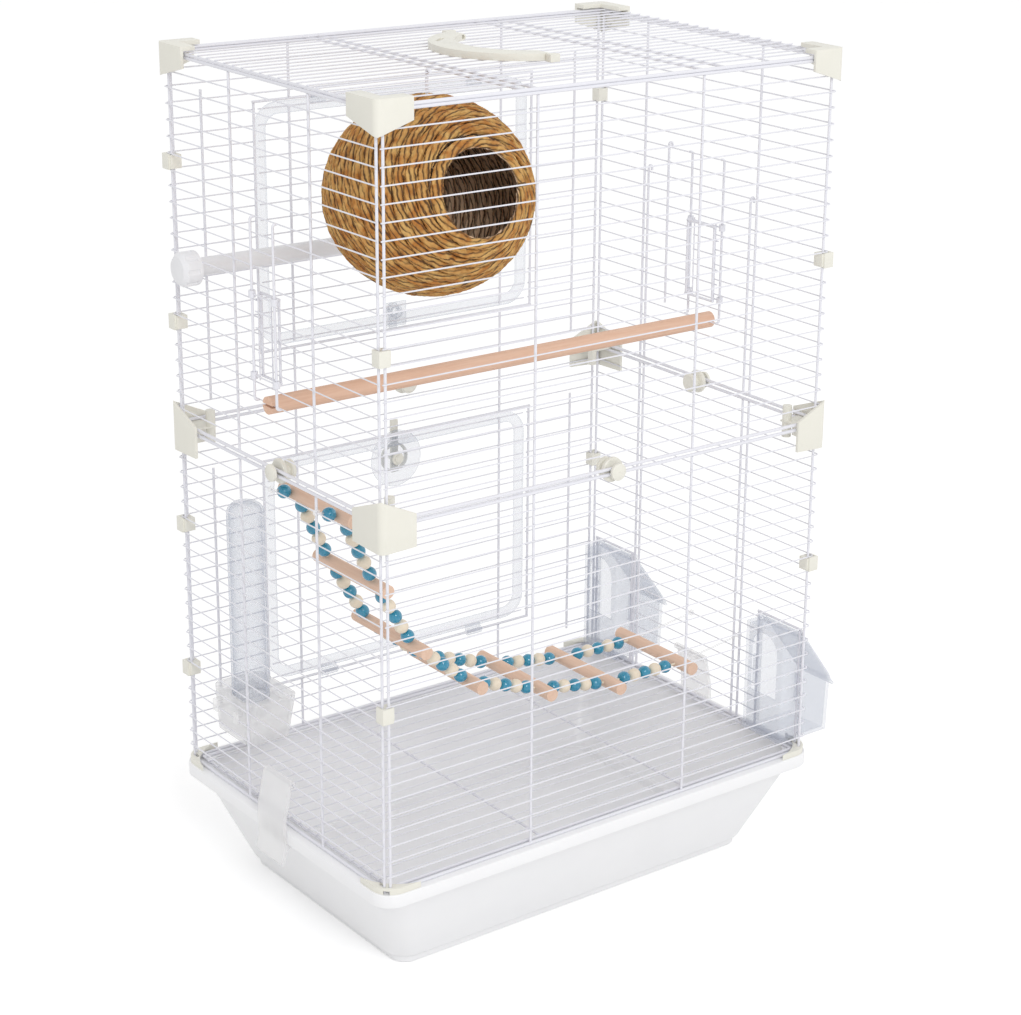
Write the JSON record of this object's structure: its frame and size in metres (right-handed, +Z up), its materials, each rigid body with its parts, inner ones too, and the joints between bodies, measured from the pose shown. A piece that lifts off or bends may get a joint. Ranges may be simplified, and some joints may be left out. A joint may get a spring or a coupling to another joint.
{
  "type": "bird cage",
  "caption": "Two-tier white wire bird cage on a plastic tray, with clear doors, feeders, perches, nest ball and bead ladder.",
  "frame": {"origin": "middle of the tray's flat underside, on the surface that the cage stands on", "axes": "+Z up, X along the 40 cm length, Y along the 28 cm width; +Y is the wall with the two clear doors and +X the end with the two hooded feeders"},
  "size_m": [0.4462, 0.2874, 0.6299],
  "materials": {
    "coated_wire": "white epoxy-coated steel wire",
    "white_plastic": "white moulded plastic, satin",
    "ivory_plastic": "warm ivory moulded plastic",
    "clear_plastic": "clear moulded plastic, glossy",
    "frosted_plastic": "translucent white plastic",
    "perch_wood": "bare light wood",
    "blue_beads": "painted blue wooden beads",
    "seagrass": "coiled dried grass",
    "ladder_cord": "coated wire through the beads"
  },
  "bodies": {
    "cage": {"back_feeder": "clear_plastic", "back_lower_panel": "coated_wire", "back_upper_panel": "coated_wire", "base_corners": "ivory_plastic", "edge_clips": "ivory_plastic", "floor_grille": "coated_wire", "front_feeder": "clear_plastic", "front_lower_panel": "coated_wire", "front_upper_panel": "coated_wire", "handle_brackets": "ivory_plastic", "knob_perch": "white_plastic", "ladder_beads_blue": "blue_beads", "ladder_beads_plain": "perch_wood", "ladder_cords": "ladder_cord", "ladder_hooks": "ladder_cord", "ladder_rungs": "perch_wood", "left_door_rails": "coated_wire", "left_lower_panel": "coated_wire", "left_upper_panel": "coated_wire", "right_door_rails": "coated_wire", "right_lower_panel": "coated_wire", "right_upper_panel": "coated_wire", "roof_panel": "coated_wire", "seed_cup": "frosted_plastic", "seed_tube": "clear_plastic", "tier_link_back_left": "ivory_plastic", "tier_link_back_right": "ivory_plastic", "tier_link_front_left": "ivory_plastic", "tier_link_front_right": "ivory_plastic", "top_cap_back_left": "ivory_plastic", "top_cap_back_right": "ivory_plastic", "top_cap_front_left": "ivory_plastic", "top_cap_front_right": "ivory_plastic", "tray": "white_plastic", "wall_buttons": "ivory_plastic", "wooden_perch": "perch_wood"},
    "upper_door": {"upper_door_frame": "clear_plastic", "upper_door_grille": "coated_wire", "upper_door_hinges": "clear_plastic", "upper_latch_plate": "clear_plastic"},
    "upper_latch": {"upper_latch": "clear_plastic"},
    "lower_door": {"lower_door_frame": "clear_plastic", "lower_door_grille": "coated_wire", "lower_door_hinges": "clear_plastic", "lower_latch_disc": "clear_plastic"},
    "lower_latch": {"lower_latch": "ivory_plastic"},
    "left_lift": {"left_lift_door": "coated_wire"},
    "right_lift": {"right_lift_door": "coated_wire"},
    "front_lid": {"front_feeder_lid": "clear_plastic"},
    "back_lid": {"back_feeder_lid": "clear_plastic"},
    "handle": {"handle": "ivory_plastic"},
    "left_clip": {"left_tray_clip": "frosted_plastic"},
    "right_clip": {"right_tray_clip": "frosted_plastic"},
    "knob": {"perch_knob": "white_plastic"},
    "ball": {"nest_ball": "seagrass", "nest_ball_hook": "coated_wire"}
  },
  "joints": [
    {"name": "upper_door_hinge", "type": "hinge", "parent": "cage", "child": "upper_door", "pos_m": [0, 0.133, 0.57922], "axis": [1, 0, 0], "range_deg": [0, 90]},
    {"name": "upper_latch_turn", "type": "hinge", "parent": "upper_door", "child": "upper_latch", "pos_m": [0, 0.13914, 0.40443], "axis": [0, 1, 0], "range_deg": [0, 90]},
    {"name": "lower_door_hinge", "type": "hinge", "parent": "cage", "child": "lower_door", "pos_m": [0, 0.133, 0.12355], "axis": [-1, 0, 0], "range_deg": [0, 90]},
    {"name": "lower_latch_turn", "type": "hinge", "parent": "lower_door", "child": "lower_latch", "pos_m": [0, 0.13914, 0.28469], "axis": [0, 1, 0], "range_deg": [0, 90]},
    {"name": "left_lift_slide", "type": "slide", "parent": "cage", "child": "left_lift", "axis": [0, 0, 1], "range_m": [0, 0.04793]},
    {"name": "right_lift_slide", "type": "slide", "parent": "cage", "child": "right_lift", "axis": [0, 0, 1], "range_m": [0, 0.04793]},
    {"name": "front_lid_hinge", "type": "hinge", "parent": "cage", "child": "front_lid", "pos_m": [0.19646, -0.102, 0.17451], "axis": [0, -1, 0], "range_deg": [0, 110]},
    {"name": "back_lid_hinge", "type": "hinge", "parent": "cage", "child": "back_lid", "pos_m": [0.19646, 0.102, 0.17451], "axis": [0, -1, 0], "range_deg": [0, 110]},
    {"name": "handle_pivot", "type": "hinge", "parent": "cage", "child": "handle", "pos_m": [-0.004, 0, 0.62744], "axis": [0, 1, 0], "range_deg": [0, 178]},
    {"name": "left_clip_hinge", "type": "hinge", "parent": "cage", "child": "left_clip", "pos_m": [-0.19457, 0.003, 0.1178], "axis": [0, 1, 0], "range_deg": [0, 60]},
    {"name": "right_clip_hinge", "type": "hinge", "parent": "cage", "child": "right_clip", "pos_m": [0.19457, 0.003, 0.1178], "axis": [0, -1, 0], "range_deg": [0, 60]},
    {"name": "perch_knob_turn", "type": "hinge", "parent": "cage", "child": "knob", "pos_m": [-0.19514, 0.099, 0.47435], "axis": [1, 0, 0], "continuous": true},
    {"name": "nest_ball_swing", "type": "hinge", "parent": "cage", "child": "ball", "pos_m": [-0.1, -0.05204, 0.62409], "axis": [1, 0, 0], "range_deg": [-5, 12]}
  ]
}
